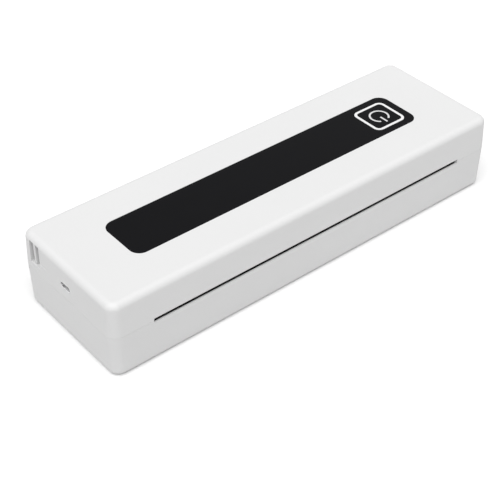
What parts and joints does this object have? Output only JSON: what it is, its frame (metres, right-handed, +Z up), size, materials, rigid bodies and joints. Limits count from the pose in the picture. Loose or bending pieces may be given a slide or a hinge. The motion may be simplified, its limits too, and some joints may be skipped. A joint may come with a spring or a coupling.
{
  "type": "portable thermal printer",
  "caption": "White clamshell portable thermal printer with a black top panel, a square power button, a front paper slot and a hinged cover over its platen roller and roll bin.",
  "frame": {"origin": "point on the floor under the middle of the case, between the feet", "axes": "+X along the length towards the power button's end, +Y to the rear where the hinge is, +Z up"},
  "size_m": [0.269, 0.0834, 0.0474],
  "materials": {
    "white_case": "fine moulded texture",
    "black_panel": "satin gloss",
    "white_mark": "printed",
    "dark_frame": "moulded",
    "grey_cradle": "moulded",
    "black_rubber": "matte",
    "steel": "turned",
    "plated_sheet": "plated",
    "gear_plastic": "natural acetal",
    "bush_plastic": "moulded",
    "board_green": "solder mask",
    "chip_black": "moulded",
    "port_plastic": "moulded",
    "port_steel": "plated",
    "battery_foil": "pouch foil",
    "head_ceramic": "glazed",
    "head_metal": "milled",
    "ribbon_film": "film"
  },
  "bodies": {
    "base": {"base_shell": "white_case", "rubber_feet": "black_rubber", "hinge_pins": "steel", "platen_bushes": "bush_plastic", "roll_cradle": "grey_cradle", "cradle_screws": "steel"},
    "cover": {"cover_shell": "white_case", "top_panel": "black_panel", "button_board": "board_green", "push_switch": "chip_black", "button_board_screws": "steel", "inner_frame": "dark_frame", "frame_screws": "steel", "head_springs": "steel", "head_ribbon": "ribbon_film", "main_board": "board_green", "board_parts": "chip_black", "board_screws": "steel", "charging_port": "port_steel", "port_tongue": "port_plastic", "battery_pack": "battery_foil", "paper_sensor": "chip_black", "gear_stub": "steel", "drive_motor": "plated_sheet", "drive_plate": "plated_sheet", "drive_screws": "steel", "latch_spring": "steel"},
    "platen": {"platen_shaft": "steel", "platen_rubber": "black_rubber", "platen_gear": "gear_plastic"},
    "reduction_gear": {"reduction_gear": "gear_plastic"},
    "motor_pinion": {"motor_pinion": "gear_plastic", "motor_shaft": "steel"},
    "power_button": {"power_button": "black_panel", "button_ring": "white_mark", "power_symbol": "white_mark"},
    "print_head": {"head_strip": "head_ceramic", "head_plate": "head_metal"},
    "latch": {"latch_slider": "white_case"}
  },
  "joints": [
    {"name": "cover_hinge", "type": "hinge", "parent": "base", "child": "cover", "pos_m": [0, 0.0383, 0.0268], "axis": [-1, 0, 0], "range_deg": [0, 85]},
    {"name": "platen_spin", "type": "hinge", "parent": "base", "child": "platen", "pos_m": [0, -0.027, 0.02005], "axis": [1, 0, 0], "continuous": true},
    {"name": "reduction_spin", "type": "hinge", "parent": "cover", "child": "reduction_gear", "pos_m": [0.1247, -0.027, 0.03105], "axis": [1, 0, 0], "continuous": true},
    {"name": "pinion_spin", "type": "hinge", "parent": "cover", "child": "motor_pinion", "pos_m": [0.1247, -0.01649, 0.03685], "axis": [1, 0, 0], "continuous": true},
    {"name": "button_press", "type": "slide", "parent": "cover", "child": "power_button", "axis": [0, 0, -1], "range_m": [0, 0.0005], "stiffness_N_per_m": 2000, "springref_m": -0.0003},
    {"name": "head_pivot", "type": "hinge", "parent": "cover", "child": "print_head", "pos_m": [0, -0.016, 0.0291], "axis": [-1, 0, 0], "range_deg": [0, 2], "stiffness_Nm_per_rad": 1.2, "springref_deg": -5.73, "deforming": ["head_springs"]},
    {"name": "latch_slide", "type": "slide", "parent": "cover", "child": "latch", "axis": [0, 1, 0], "range_m": [0, 0.0025], "stiffness_N_per_m": 800, "springref_m": -0.001}
  ],
  "couplings": [
    {"joint": "reduction_spin", "follows": "platen_spin", "ratio": -1.75},
    {"joint": "pinion_spin", "follows": "platen_spin", "ratio": 3.5}
  ]
}
